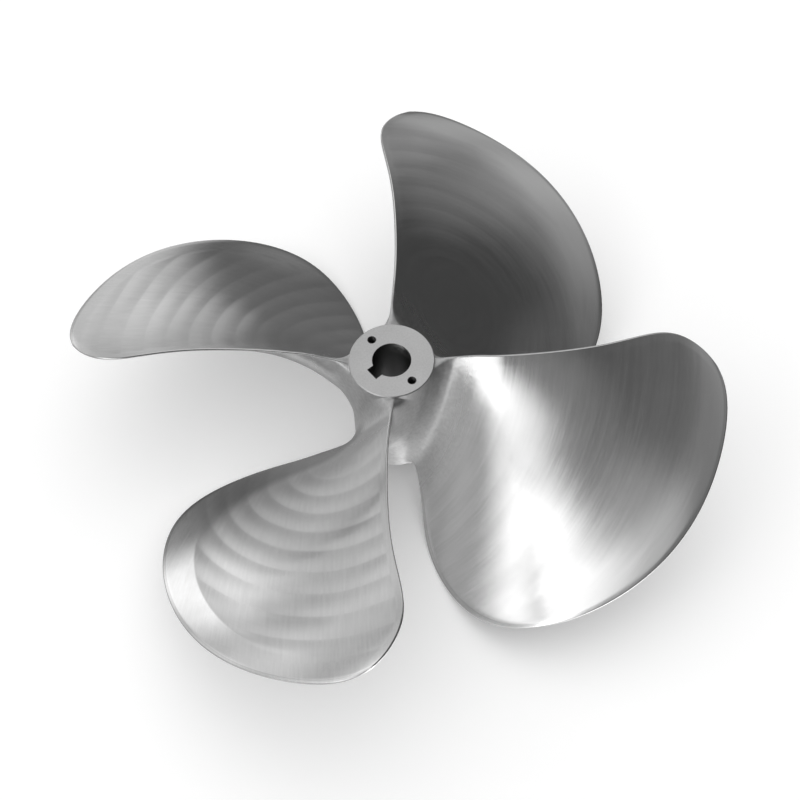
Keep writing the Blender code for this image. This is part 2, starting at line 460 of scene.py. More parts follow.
    def nose(self, rung: Rung, at_leading: bool) -> list[SkinPoint]:
        """The rounded edge of a section, between its pressure face and its back.

        Args:
            rung: the section.
            at_leading: whether this is the leading edge.

        Returns:
            Its points, without the two that belong to the faces.
        """
        edge = self.edge_thickness(rung, at_leading)
        slant = rung.leading_slant if at_leading else rung.trailing_slant
        depth = min(0.5 * edge / slant, self.nose_share * rung.width)
        radius = rung.leading.radius if at_leading else rung.trailing.radius
        points = []
        for k in range(1, self.nose_steps):
            turn = math.pi * (k / self.nose_steps - 0.5)
            inward = depth * (1.0 - math.cos(turn))
            forward = 0.5 * edge * math.sin(turn)
            if at_leading:
                flare = -self.fillet_reach(radius - self.hub_radius, self.edge_fillet)
                points.append(self.skin(rung, rung.width - inward, forward, flare))
            else:
                spread = self.bulge(rung, 0.0, radius - self.hub_radius) * (2.0 * k / self.nose_steps - 1.0)
                points.append(self.skin(rung, inward, forward, 0.0, spread))
        return points

    def loop(self, rung: Rung) -> list[SkinPoint]:
        """Run round a whole section: over the pressure face, round the leading edge and back.

        Args:
            rung: the section.

        Returns:
            Its points, none of them below the floor or above the height that the blade is faced to.
        """
        pressure = self.face_line(rung, Side.PRESSURE)
        back = self.face_line(rung, Side.BACK)
        trailing = self.nose(rung, at_leading=False)
        loop = pressure + self.nose(rung, at_leading=True) + back[::-1] + trailing[::-1]
        for point in loop:
            highest = self.highest(math.hypot(point.place.x, point.place.y))
            point.place.z = min(max(point.place.z, 0.0), highest)
        return loop


@dataclass
class Skin:
    """A mesh under construction, whose vertices carry what the finishes read."""

    mesh: bmesh.types.BMesh = field(default_factory=bmesh.new)

    def __post_init__(self) -> None:
        """Add the finish's layers."""
        self.layers = [self.mesh.verts.layers.float.new(name) for name in SKIN_LAYERS]

    def vertex(self, place: Vector, rim: float = FAR_FROM_EDGE, lead: float = FAR_FROM_EDGE,
               across: float = 0.0, along: float = 0.0, ripple: float = 0.0) -> Vert:
        """Add a vertex.

        Args:
            place: where it lies.
            rim: its distance from the nearer edge of its blade.
            lead: its distance from the blade's leading edge.
            across: its distance from the centre of the blade's grinding passes.
            along: its place along its pass.
            ripple: how strongly the passes show.

        Returns:
            The vertex.
        """
        vertex = self.mesh.verts.new(place)
        for layer, value in zip(self.layers, (rim, lead, across, along, ripple)):
            vertex[layer] = value
        return vertex

    def face(self, corners: Sequence[Vert], zone: Zone) -> None:
        """Add a face, leaving out corners that meet.

        Args:
            corners: its vertices in order.
            zone: the surface that it belongs to.
        """
        kept = [c for k, c in enumerate(corners) if c is not corners[k - 1]]
        if len(kept) > 2:
            added = self.mesh.faces.new(kept)
            added.material_index = zone.value
            added.smooth = True

    def bridge(self, low: Sequence[Vert], high: Sequence[Vert], zone: Zone, closed: bool = True) -> None:
        """Join two rows of as many vertices.

        Args:
            low: one row.
            high: the next row.
            zone: the surface that the faces belong to.
            closed: whether the rows are rings.
        """
        for k in range(len(low) if closed else len(low) - 1):
            after = (k + 1) % len(low)
            self.face((low[k], low[after], high[after], high[k]), zone)

    def crease(self, row: Sequence[Vert], closed: bool = True) -> None:
        """Keep the edges along a row of vertices sharp.

        Args:
            row: the vertices.
            closed: whether the row is a ring.
        """
        for k in range(len(row) if closed else len(row) - 1):
            edge = self.mesh.edges.get((row[k], row[(k + 1) % len(row)]))
            if edge:
                edge.smooth = False

    def cap(self, rings: Sequence[Sequence[Vert]], zone: Zone) -> None:
        """Fill the flat face between an outer ring and the openings in it.

        Args:
            rings: the outer ring, then the openings.
            zone: the surface that the face belongs to.
        """
        edges = []
        for ring in rings:
            for k, vertex in enumerate(ring):
                pair = (ring[k - 1], vertex)
                edges.append(self.mesh.edges.get(pair) or self.mesh.edges.new(pair))
        filled = bmesh.ops.triangle_fill(self.mesh, use_beauty=True, edges=edges)
        for item in filled["geom"]:
            if isinstance(item, bmesh.types.BMFace):
                item.material_index = zone.value
                item.smooth = True

    def finished(self, name: str) -> bpy.types.Mesh:
        """Turn the skin into a mesh with its faces pointing out.

        Args:
            name: the mesh's name.

        Returns:
            The mesh.
        """
        bmesh.ops.recalc_face_normals(self.mesh, faces=self.mesh.faces)
        mesh = bpy.data.meshes.new(name)
        self.mesh.to_mesh(mesh)
        self.mesh.free()
        return mesh


@dataclass
class Hub:
    """The barrel, its faced ends, the keyed taper bore and the tapped puller holes."""

    aft: float
    forward: float
    radius: float = 0.0515
    chamfer: float = 0.0010
    bore_radius_aft: float = 0.0230
    bore_taper: float = 1.0 / 12.0
    bore_sides: int = 96
    bore_chamfer: float = 0.0005
    keyway_width: float = 0.016
    keyway_depth: float = 0.0075
    keyway_angle: float = math.radians(-142.0)
    hole_radius: float = 0.00425
    hole_circle: float = 0.0375
    hole_depth: float = 0.028
    hole_sides: int = 28
    hole_chamfer: float = 0.0004
    thread_pitch: float = 0.0015
    thread_depth: float = 0.00075
    thread_rows: int = 6
    threaded_share: float = 0.8
    barrel_columns: int = 16
    barrel_rings: int = 12
    rim_rings: int = 2

    def bore_outline(self, height: float, grown: float) -> list[Vector]:
        """The keyed bore's section.

        Args:
            height: where it is cut.
            grown: how far every wall is moved outward, as on a chamfer.

        Returns:
            Its points, with the keyway's four corners first.
        """
        radius = self.bore_radius_aft + self.bore_taper / 2 * (self.aft - height) + grown
        half = self.keyway_width / 2 + grown
        floor = radius + self.keyway_depth
        turn = math.asin(half / radius)
        points = [(radius * math.cos(turn), -half), (floor, -half), (floor, half)]
        for k in range(self.bore_sides):
            angle = mix(turn, 2 * math.pi - turn, k / self.bore_sides)
            points.append((radius * math.cos(angle), radius * math.sin(angle)))
        spin = Matrix.Rotation(self.keyway_angle, 3, "Z")
        return [spin @ Vector((x, y, height)) for x, y in points]

    def add_bore(self, skin: Skin) -> tuple[list[Vert], list[Vert]]:
        """Cut the bore through.

        Args:
            skin: the casting's skin.

        Returns:
            Its rings on the aft and forward faces.
        """
        cuts = (
            (self.aft, self.bore_chamfer),
            (self.aft - self.bore_chamfer, 0.0),
            (self.forward + self.bore_chamfer, 0.0),
            (self.forward, self.bore_chamfer),
        )
        rings = [[skin.vertex(p) for p in self.bore_outline(height, grown)] for height, grown in cuts]
        for low, high in zip(rings, rings[1:]):
            skin.bridge(low, high, Zone.BORED)
        for ring in rings:
            skin.crease(ring)
        for corner in range(4):
            skin.crease([ring[corner] for ring in rings], closed=False)
        return rings[0], rings[-1]

    def add_hole(self, skin: Skin, angle: float) -> list[Vert]:
        """Cut one tapped hole into the aft face.

        Args:
            skin: the casting's skin.
            angle: where it lies round the bore.

        Returns:
            Its ring on the aft face.
        """
        centre = Vector((self.hole_circle * math.cos(angle), self.hole_circle * math.sin(angle), 0.0))
        turns = [2 * math.pi * k / self.hole_sides for k in range(self.hole_sides)]

        def ring(radii: Sequence[float], height: float) -> list[Vert]:
            """Make one ring of the hole's wall.

            Args:
                radii: its radius at each of the turns.
                height: where it lies.

            Returns:
                Its vertices.
            """
            return [
                skin.vertex(centre + Vector((r * math.cos(t), r * math.sin(t), height)))
                for r, t in zip(radii, turns)
            ]

        deepest = self.hole_radius + self.thread_depth
        mouth = ring([deepest + self.hole_chamfer] * self.hole_sides, self.aft)
        rings = [mouth, ring([deepest] * self.hole_sides, self.aft - self.hole_chamfer)]
        rows = int(self.threaded_share * self.hole_depth / self.thread_pitch) * self.thread_rows
        for row in range(1, rows + 1):
            depth = self.hole_chamfer + row * self.thread_pitch / self.thread_rows
            ridge = [0.5 + 0.5 * math.cos(2 * math.pi * row / self.thread_rows + t) for t in turns]
            fade = min(row / self.thread_rows, 1.0, (rows - row) / self.thread_rows)
            rings.append(ring([deepest - self.thread_depth * (1 - fade * (1 - r)) for r in ridge],
                              self.aft - depth))
        rings.append(ring([self.hole_radius] * self.hole_sides, self.aft - self.hole_depth))
        for low, high in zip(rings, rings[1:]):
            skin.bridge(low, high, Zone.TAPPED)
        point = skin.vertex(centre + Vector((0.0, 0.0, self.aft - self.hole_depth - self.hole_radius / 2)))
        skin.bridge(rings[-1], [point] * self.hole_sides, Zone.TAPPED)
        for sharp in (rings[0], rings[1], rings[-1]):
            skin.crease(sharp)
        return mouth


@dataclass
class Casting:
    """The whole propeller as one closed skin."""

    hub: Hub
    blade: Blade
    passes: Sequence[Passes] = (
        Passes((0.0, 0.0), 0.25),
        Passes((0.120, -0.085), 0.5),
        Passes((-0.007, -0.062), 0.8),
        Passes((0.066, -0.046), 1.0),
    )

    def turned_blade(self, skin: Skin, loops: Sequence[Sequence[SkinPoint]], turn: float,
                     passes: Passes) -> list[list[Vert]]:
        """Add one blade, turned about the shaft, and close its tip.

        Args:
            skin: the casting's skin.
            loops: the blade's sections.
            turn: the blade's angle.
            passes: how it was ground.

        Returns:
            Its rings, the root's first.
        """
        spin = Matrix.Rotation(turn, 3, "Z")

        def vertex(point: SkinPoint) -> Vert:
            """Add one of the blade's vertices.

            Args:
                point: the skin's point.

            Returns:
                The vertex.
            """
            x, y = point.place.x - passes.centre[0], point.place.y - passes.centre[1]
            across = math.hypot(x, y)
            along = across * math.atan2(y, x)
            return skin.vertex(spin @ point.place, point.rim, point.lead, across, along, passes.strength)

        rings = [[vertex(point) for point in loop] for loop in loops]
        for low, high in zip(rings, rings[1:]):
            skin.bridge(low, high, Zone.GROUND)
        last = loops[-1]
        middle = sum((p.place for p in last), Vector()) / len(last)
        tip = vertex(SkinPoint(middle * (1.0 + self.blade.tip_rounding / middle.length), 0.0, 0.0))
        skin.bridge(rings[-1], [tip] * len(last), Zone.GROUND)
        return rings

    def build(self) -> bpy.types.Mesh:
        """Stitch the blades, the barrel and the hub's ends together.

        Returns:
            The casting's mesh.
        """
        skin = Skin()
        blade, hub = self.blade, self.hub
        count = len(self.passes)
        loops = [blade.loop(rung) for rung in blade.rungs()]
        rings = [
            self.turned_blade(skin, loops, 2 * math.pi * k / count, passes)
            for k, passes in enumerate(self.passes)
        ]
        chord, nose = blade.chord_steps + 1, blade.nose_steps - 1
        pressure = range(chord)
        leading_nose = range(chord, chord + nose)
        back = range(2 * chord + nose - 1, chord + nose - 1, -1)
        trailing_nose = range(2 * (chord + nose) - 1, 2 * chord + nose - 1, -1)
        aft_chain: list[Vert] = []
        forward_chain: list[Vert] = []
        for k in range(count):
            root, following = rings[k][0], rings[(k + 1) % count][0]
            rows = [self.barrel_row(skin, root[b], following[p]) for p, b in zip(pressure, back)]
            for low, high in zip(rows, rows[1:]):
                skin.bridge(low, high, Zone.GROUND, closed=False)
            aft_chain += [root[pressure[0]], *(root[n] for n in trailing_nose), *rows[0][:-1]]
            forward_chain += [root[pressure[-1]], *(root[n] for n in leading_nose), *rows[-1][:-1]]
        aft_rim = self.close_barrel(skin, aft_chain, hub.aft, hub.aft - hub.chamfer, hub.rim_rings)
        forward_rim = self.close_barrel(skin, forward_chain, hub.forward, hub.forward + hub.chamfer,
                                        hub.barrel_rings)
        bore_aft, bore_forward = hub.add_bore(skin)
        holes = [hub.add_hole(skin, hub.keyway_angle + side * math.pi / 2) for side in (-1, 1)]
        skin.cap([aft_rim, bore_aft, *holes], Zone.TURNED)
        skin.cap([forward_rim, bore_forward], Zone.TURNED)
        return skin.finished("propeller_casting")

    def barrel_row(self, skin: Skin, left: Vert, right: Vert) -> list[Vert]:
        """One row of the barrel between a blade's back and the next blade's pressure face.

        Args:
            skin: the casting's skin.
            left: the root's vertex on the back.
            right: the root's vertex on the pressure face.

        Returns:
            The row, from left to right.
        """
        hub = self.hub
        start = math.atan2(left.co.y, left.co.x)
        span = (math.atan2(right.co.y, right.co.x) - start) % (2 * math.pi)
        row = [left]
        for m in range(1, hub.barrel_columns):
            share = m / hub.barrel_columns
            height = mix(left.co.z, right.co.z, share)
            angle = start + span * share
            x, y = hub.radius * math.cos(angle), hub.radius * math.sin(angle)
            row.append(skin.vertex(Vector((x, y, height))))
        return row + [right]

    def close_barrel(self, skin: Skin, chain: Sequence[Vert], end: float, shoulder: float,
                     rings: int) -> list[Vert]:
        """Run the barrel from the blades' edges to one end of the hub, and chamfer it.

        Args:
            skin: the casting's skin.
            chain: the vertices that the barrel starts from, all the way round.
            end: height of the hub's faced end.
            shoulder: height at which the chamfer starts.
            rings: how many rows of faces the barrel gets.

        Returns:
            The faced end's outer ring.
        """
        previous = list(chain)
        for ring in range(1, rings + 1):
            share = ring / rings
            level = [skin.vertex(Vector((v.co.x, v.co.y, mix(v.co.z, shoulder, share)))) for v in chain]
            skin.bridge(previous, level, Zone.GROUND)
            previous = level
        inward = (self.hub.radius - self.hub.chamfer) / self.hub.radius
        rim = [skin.vertex(Vector((v.co.x * inward, v.co.y * inward, end))) for v in chain]
        skin.bridge(previous, rim, Zone.TURNED)
        skin.crease(previous)
        skin.crease(rim)
        return rim


class Graph:
    """A node tree, built in words."""

    def __init__(self, tree: bpy.types.NodeTree) -> None:
        """Start from an empty tree."""
        self.tree = tree
        tree.nodes.clear()

    def add(self, kind: str, *values: object, **settings: object) -> bpy.types.Node:
        """Add a node.

        Args:
            kind: its type, without the ShaderNode in front.
            values: what goes into its sockets in order: a socket, a value, or None to leave one alone.
            settings: its properties, and its named sockets with an underscore in front.

        Returns:
            The node.
        """
        node = self.tree.nodes.new("ShaderNode" + kind)
        for name, value in settings.items():
            if name.startswith("_"):
                self.feed(node.inputs[name[1:].replace("_", " ")], value)
            else:
                setattr(node, name, value)
        for socket, value in zip(node.inputs, values):
            self.feed(socket, value)
        return node

    def feed(self, socket: Socket, value: object) -> None:
        """Link or set a socket.

        Args:
            socket: the socket.
            value: a socket to link to it, a value to set it to, or None to leave it alone.
        """
        if isinstance(value, Socket):
            self.tree.links.new(value, socket)
        elif value is not None:
            socket.default_value = value

    def sum(self, operation: str, *values: object) -> Socket:
        """A Math node's result."""
        return self.add("Math", *values, operation=operation).outputs[0]

    def plus(self, *values: object) -> Socket:
        """All the values added up."""
        return reduce(lambda total, value: self.sum("ADD", total, value), values)

    def times(self, *values: object) -> Socket:
        """All the values multiplied together."""
        return reduce(lambda product, value: self.sum("MULTIPLY", product, value), values)

    def rest(self, value: object) -> Socket:
        """What a value leaves of 1."""
        return self.sum("SUBTRACT", 1.0, value)

    def scale(self, value: object, span: Range, to: Range = RISING, smooth: bool = False) -> Socket:
        """Map a span to another, clamped."""
        kind = "SMOOTHSTEP" if smooth else "LINEAR"
        return self.add("MapRange", value, *span, *to, interpolation_type=kind).outputs[0]

    def rise(self, value: object, span: Range) -> Socket:
        """A smooth step from 0 before a span to 1 beyond it."""
        return self.scale(value, span, RISING, smooth=True)

    def fall(self, value: object, span: Range) -> Socket:
        """A smooth step from 1 before a span to 0 beyond it."""
        return self.scale(value, span, FALLING, smooth=True)

    def noise(self, place: Socket, mottle: Mottle) -> Socket:
        """A noise of mean one half."""
        return self.add("TexNoise", place, _Scale=mottle.scale, _Detail=mottle.detail,
                        _Roughness=mottle.roughness).outputs[0]

    def unevenness(self, place: Socket, mottle: Mottle) -> Socket:
        """A noise of mean nought."""
        return self.sum("SUBTRACT", self.noise(place, mottle), 0.5)


class MetalGraph(Graph):
    """The node tree of a metal, which knows where on the casting it is."""

    def __init__(self, name: str) -> None:
        """Start the material of this name.

        Args:
            name: the material's name.
        """
        self.material = bpy.data.materials.new(name)
        self.material.use_nodes = True
        super().__init__(self.material.node_tree)
        self.place = self.add("TexCoord").outputs["Object"]
        x, y, self.height_on_shaft = self.add("SeparateXYZ", self.place).outputs[:3]
        self.radius = self.sum("SQRT", self.plus(self.times(x, x), self.times(y, y)))
        self.bearing = self.sum("ARCTAN2", y, x)

    def finished(self, value: Socket, rough: Socket, height: Socket,
                 **metal: object) -> bpy.types.Material:
        """Join up the metal's shader.

        Args:
            value: how light it is.
            rough: its roughness.
            height: how far its surface stands proud, in metres.
            metal: more of the shader's sockets, named as for add.

        Returns:
            The material.
        """
        colour = self.add("CombineColor", value, value, value).outputs[0]
        bump = self.add("Bump", _Strength=1.0, _Distance=1.0, _Height=height).outputs[0]
        shader = self.add("BsdfPrincipled", _Base_Color=colour, _Metallic=1.0, _Roughness=rough,
                          _Normal=bump, **metal)
        self.add("OutputMaterial", shader.outputs[0])
        return self.material


@dataclass(frozen=True)
class GroundSteel:
    """Blades ground in curved passes by short cross strokes, with a dressed border and hand-worked roots;
    painted shade and highlights are laid into the colour.

    The spans say where a mark comes or goes. They are radii, distances from an edge, bearings round the
    shaft, shares of the border's width, or strengths of the blades' passes.
    """

    colour: float = 0.74
    roughness: float = 0.19
    anisotropy: float = 0.30

    boldest: Range = (0.82, 0.98)
    plainest: Range = (0.50, 0.90)
    crossed: Range = (0.55, 0.75)

    pass_width: float = 0.0265
    pass_start: float = 0.0115
    pass_depth: float = 0.00020
    pass_crown: float = 1.6
    # Painted shade: the outer half of each pass is coloured lighter and the inner half darker, as light
    # falls across its crown.
    pass_painted_shade: float = 0.40
    pass_slope: float = 0.6
    pass_wander: float = 0.012
    wander_noise: Mottle = Mottle(6.0, 1.0)
    pass_centre: Range = (0.04, 0.09)
    pass_margin: Range = (0.0075, 0.0105)
    relief_margin: Range = (0.0085, 0.0255)
    pressed_noise: Mottle = Mottle(8.0, 1.0)
    pressed_where: Range = (0.35, 0.60)
    pressed_share: Range = (0.45, 1.0)

    stroke_spacing: float = 0.0030
    stroke_stretch: float = 10.0
    stroke_shift: float = 7.3
    stroke_noise: Mottle = Mottle(1.0, 1.0)
    stroke_depth: float = 0.000012
    stroke_shade: float = 0.14
    streak_spacing: float = 0.0050
    streaks_along: float = 9.0
    streaks_when_crossed: float = 0.35
    streak_noise: Mottle = Mottle(1.0, 3.0, 0.6)
    streak_depth: float = 0.000030
    streak_shade: float = 0.18
    grains_across: Range = (1600.0, 90.0)
    grains_along: Range = (70.0, 2200.0)
    grain_shift: float = 3.1
    grain_noise: Mottle = Mottle(1.0, 2.0, 0.6)
    grain_at_root: float = 0.1
    grain_depth: float = 0.000006
    grain_shade: float = 0.10
    grain_roughness: float = 0.10
    cloud_noise: Mottle = Mottle(26.0, 3.0, 0.6)
    cloud_shade: float = 0.12

    roots: Range = (0.070, 0.130)
    dab_noise: Mottle = Mottle(70.0)
    dab_depth: float = 0.0006
    brush_noise: Mottle = Mottle(210.0, 3.0, 0.6)
    brush_shade: float = 0.40
    hand_roughness: float = 0.12
    barrel: Range = (0.053, 0.075)
    barrel_roughness: float = 0.22

    border_widths: Range = (0.030, 0.050)
    border_reach: Range = (0.255, 0.305)
    border_blend: Range = (0.85, 1.15)
    border_line: Range = (0.96, 1.04)
    border_fall: float = 0.0007
    # Painted highlight on the dressed border.
    border_painted_highlight: float = 0.34
    patched_noise: Mottle = Mottle(18.0, 3.0)
    patched_where: Range = (0.35, 0.65)
    patched_share: Range = (0.55, 1.0)
    # Bearings of the painted light: the border and what lies beside it are coloured lighter or darker only
    # between these.
    brightens: Range = bearings(-150.0, -140.0)
    fades: Range = bearings(-128.0, -115.0)
    faded_share: float = 0.08
    # Painted highlight: a soft lighter band inside the leading edge of the plainer blades.
    soft_width: Range = (0.030, 0.099)
    soft_painted_highlight: float = 0.42
    # Painted shade beside the lit border, and painted highlight where that border fades out.
    near: Range = (1.0, 2.0)
    beside_line: Range = (0.97, 1.03)
    beside_ends: Range = bearings(-128.0, -119.0)
    beside_painted_shade: float = -0.26
    # Painted highlight where the lit border fades out.
    merges: Range = bearings(-125.0, -117.0)
    merging_ends: Range = bearings(-110.0, -101.0)
    merging_painted_highlight: float = 0.24

    # Painted shade: a darker wedge along the boldest blade's leading edge.
    shaded_wedge_width: Range = (0.027, 0.045)
    shaded_wedge_inner: Range = (0.065, 0.140)
    shaded_wedge_inner_spread: Range = (2.2, 1.55)
    shaded_wedge_outer: Range = (0.20, 0.30)
    shaded_wedge_outer_spread: Range = (1.0, 1.2)
    shaded_wedge_clear_of_barrel: Range = (0.0525, 0.060)
    wedge_painted_shade: float = -0.42
    passes_under_shaded_wedge: float = 0.4

    hollow_starts: Range = (0.052, 0.080)
    hollow_ends: Range = (0.095, 0.135)
    hollow_width: float = 0.065
    hollow_depth: float = 0.0030
    # Painted shade: a darker band and a thin dark line along the leading edge's rounded margin.
    edge_band: float = 0.0052
    edge_band_blend: float = 0.0006
    margin_painted_shade: float = -0.10
    edge_line: Range = (0.0002, 0.0008)
    margin_line_painted_shade: float = -0.12

    def material(self, name: str) -> bpy.types.Material:
        """The finish as a material."""
        return GroundPaint(self, name).painted()


class GroundPaint(MetalGraph):
    """The node tree of a ground finish."""

    def __init__(self, finish: GroundSteel, name: str) -> None:
        """Start the material of this name, and find out where its marks may be.

        Args:
            finish: the finish's measures.
            name: the material's name.
        """
        super().__init__(name)
        self.finish = finish
        self.rim, self.lead, self.across, self.along, self.ripple = (
            self.add("Attribute", attribute_name=layer).outputs["Fac"] for layer in SKIN_LAYERS
        )
        self.bold = self.scale(self.ripple, finish.boldest)
        self.crossed = self.scale(self.ripple, finish.crossed)
        self.outer = self.rise(self.radius, finish.roots)
        self.inner = self.rest(self.outer)
        self.reached = self.rise(self.radius, finish.border_reach)
        # Bearings where the painted light on the border falls.
        self.brightened = self.rise(self.bearing, finish.brightens)
        border = self.scale(self.ripple, finish.boldest, finish.border_widths)
        self.inward = self.sum("DIVIDE", self.lead, border)
        self.shaded_wedge = self.shaded_wedge_share()
        self.ground = self.ground_share()

        wander = self.times(self.unevenness(self.place, finish.wander_noise), finish.pass_wander)
        travel = self.sum("SUBTRACT", self.plus(self.across, wander), finish.pass_start)
        passes = self.sum("DIVIDE", travel, finish.pass_width)
        self.within = self.sum("FRACT", passes)
        self.index = self.sum("FLOOR", passes)
        self.pillow = self.times(self.within, self.rest(self.within), 4.0)
        self.stroke, self.streak, self.grain = self.strokes()

    def shaded_wedge_share(self) -> Socket:
        """How far a place lies in the wedge of painted shade along the boldest blade's leading edge.

        Returns:
            A share, 1 in the wedge and 0 outside it.
        """
        finish = self.finish
        spread = self.times(
            self.scale(self.radius, finish.shaded_wedge_inner, finish.shaded_wedge_inner_spread, smooth=True),
            self.scale(self.radius, finish.shaded_wedge_outer, finish.shaded_wedge_outer_spread),
        )
        wedge = self.fall(self.sum("DIVIDE", self.lead, spread), finish.shaded_wedge_width)
        sheltered = self.sum("MAXIMUM", self.rest(self.reached), self.rest(self.brightened))
        return self.times(wedge, sheltered, self.bold)

    def ground_share(self) -> Socket:
        """How strongly the grinding passes show at a place.

        Returns:
            A share, 0 where they don't.
        """
        finish = self.finish
        inside = self.rest(self.times(self.rest(self.rise(self.inward, finish.border_blend)), self.reached))
        inside = self.times(inside, self.rise(self.rim, finish.pass_margin))
        pressed = self.scale(self.noise(self.place, finish.pressed_noise), finish.pressed_where,
                             finish.pressed_share, smooth=True)
        pressed = self.times(pressed, self.rise(self.across, finish.pass_centre))
        under_shaded_wedge = self.scale(self.shaded_wedge, RISING, (1.0, finish.passes_under_shaded_wedge))
        return self.times(self.outer, inside, pressed, self.ripple, under_shaded_wedge)

    def strokes(self) -> tuple[Socket, Socket, Socket]:
        """Draw the fine marks of the grinding disc.

        Returns:
            The short strokes across a pass, the long streaks along it, and the finest grain.
        """
        finish, crossed = self.finish, self.crossed
        hatch = self.add(
            "CombineXYZ",
            self.times(self.across, 1.0 / (finish.stroke_stretch * finish.stroke_spacing)),
            self.sum("DIVIDE", self.along, finish.stroke_spacing),
            self.times(self.index, finish.stroke_shift),
        ).outputs[0]
        swept = self.add("CombineXYZ", self.sum("DIVIDE", self.across, finish.streak_spacing),
                         self.times(self.along, finish.streaks_along)).outputs[0]
        fine = self.add(
            "CombineXYZ",
            self.times(self.across, self.scale(crossed, RISING, finish.grains_across)),
            self.times(self.along, self.scale(crossed, RISING, finish.grains_along)),
            self.times(self.index, crossed, finish.grain_shift),
        ).outputs[0]
        return (
            self.times(self.unevenness(hatch, finish.stroke_noise), self.outer, crossed),
            self.times(self.unevenness(swept, finish.streak_noise),
                       self.scale(crossed, RISING, (1.0, finish.streaks_when_crossed))),
            self.times(self.unevenness(fine, finish.grain_noise),
                       self.scale(self.outer, RISING, (finish.grain_at_root, 1.0))),
        )

    def border_light(self) -> Socket:
        """The painted highlights and shade on and beside the dressed border along the leading edge.

        Returns:
            What it adds to the shade.
        """
        finish = self.finish
        wide = self.times(self.reached, self.bold)
        bright = self.times(self.scale(self.bearing, finish.fades, (1.0, finish.faded_share), smooth=True),
                            self.brightened)
        patches = self.scale(self.noise(self.place, finish.patched_noise), finish.patched_where,
                             finish.patched_share)
        # Painted highlight: the dressed border is coloured lighter only at the bearings where it faces the
        # light.
        dressed = self.times(self.fall(self.inward, finish.border_line), wide, bright, patches)
        # Painted highlight: a soft lighter band inside the leading edge of the plainer blades.
        softly = self.times(self.fall(self.lead, finish.soft_width), self.reached,
                            self.scale(self.ripple, finish.plainest, FALLING))
        near = self.times(self.scale(self.inward, finish.near, FALLING), wide)
        # Painted shade: a darker strip just inside the lit border.
        beside = self.times(near, self.scale(self.inward, finish.beside_line),
                            self.fall(self.bearing, finish.beside_ends), self.brightened)
        # Painted highlight: a lighter patch where the lit border fades out.
        merging = self.times(near, self.rise(self.bearing, finish.merges),
                             self.fall(self.bearing, finish.merging_ends))
        return self.plus(
            self.times(dressed, finish.border_painted_highlight),
            self.times(softly, finish.soft_painted_highlight),
            self.times(beside, finish.beside_painted_shade),
            self.times(merging, finish.merging_painted_highlight),
        )

    def shade(self) -> Socket:
        """The finish's lightness, of mean about 1, with its painted shade and highlights.

        Returns:
            What the steel's colour is multiplied by.
        """
        finish = self.finish
        # Painted shade: lighter on the outer half of each pass, darker on the inner half.
        slope = self.times(self.sum("SUBTRACT", self.within, 0.5),
                           self.sum("POWER", self.pillow, finish.pass_slope))
        # Painted shade: a darker band and a thin dark line along the leading edge's rounded margin.
        band_end = finish.edge_band + finish.edge_band_blend
        band = self.scale(self.lead, (finish.edge_band, band_end), FALLING)
        off_line = self.sum("ABSOLUTE", self.sum("SUBTRACT", self.lead, finish.edge_band))
        line = self.scale(off_line, finish.edge_line, FALLING)
        return self.plus(
            1.0,
            # Painted shade across each pass's crown.
            self.times(slope, self.ground, finish.pass_painted_shade),
            self.times(self.stroke, finish.stroke_shade),
            self.times(self.grain, finish.grain_shade),
            self.times(self.unevenness(self.place, finish.cloud_noise), finish.cloud_shade),
            self.times(self.streak, finish.streak_shade),
            self.times(self.unevenness(self.place, finish.brush_noise), self.inner, finish.brush_shade),
            # Painted highlights and shade on and beside the border.
            self.border_light(),
            # Painted shade in the wedge along the boldest blade's leading edge.
            self.times(self.shaded_wedge, self.scale(self.radius, finish.shaded_wedge_clear_of_barrel), finish.wedge_painted_shade),
            # Painted shade along the leading edge's margin.
            self.times(band, self.outer, finish.margin_painted_shade),
            self.times(line, self.outer, finish.margin_line_painted_shade),
        )

    def rough(self) -> Socket:
        """The finish's roughness, which is greater on the hand-worked roots and the barrel.

        Returns:
            The roughness.
        """
        finish = self.finish
        return self.plus(
            finish.roughness,
            self.times(self.plus(self.streak, self.grain), finish.grain_roughness),
            self.times(self.inner, finish.hand_roughness),
            self.times(self.fall(self.radius, finish.barrel), finish.barrel_roughness),
        )

    def relief(self) -> Socket:
        """How far the finish stands proud.

        Returns:
            The height, in metres.
        """
        finish = self.finish
        fall = self.sum("POWER", self.scale(self.inward, RISING, FALLING), 2.0)
        hollow = self.sum("POWER", self.scale(self.rim, (0.0, finish.hollow_width), FALLING), 2.0)
        crown = self.times(self.sum("POWER", self.pillow, finish.pass_crown), self.ground,
                           self.rise(self.rim, finish.relief_margin))
        return self.plus(
            self.times(fall, self.reached, -finish.border_fall),
            self.times(self.rise(self.radius, finish.hollow_starts),
                       self.fall(self.radius, finish.hollow_ends), hollow, -finish.hollow_depth),
            self.times(crown, finish.pass_depth),
            self.times(self.stroke, finish.stroke_depth),
            self.times(self.streak, finish.streak_depth),
            self.times(self.grain, finish.grain_depth),
            self.times(self.unevenness(self.place, finish.dab_noise), self.inner, finish.dab_depth),
        )

    def painted(self) -> bpy.types.Material:
        """Join the marks up in a material that glints along rings round the shaft.

        Returns:
            The material.
        """
        tangent = self.add("Tangent", direction_type="RADIAL", axis="Z").outputs[0]
        value = self.times(self.shade(), self.finish.colour)
        return self.finished(value, self.rough(), self.relief(), _Anisotropic=self.finish.anisotropy,
                             _Tangent=tangent)


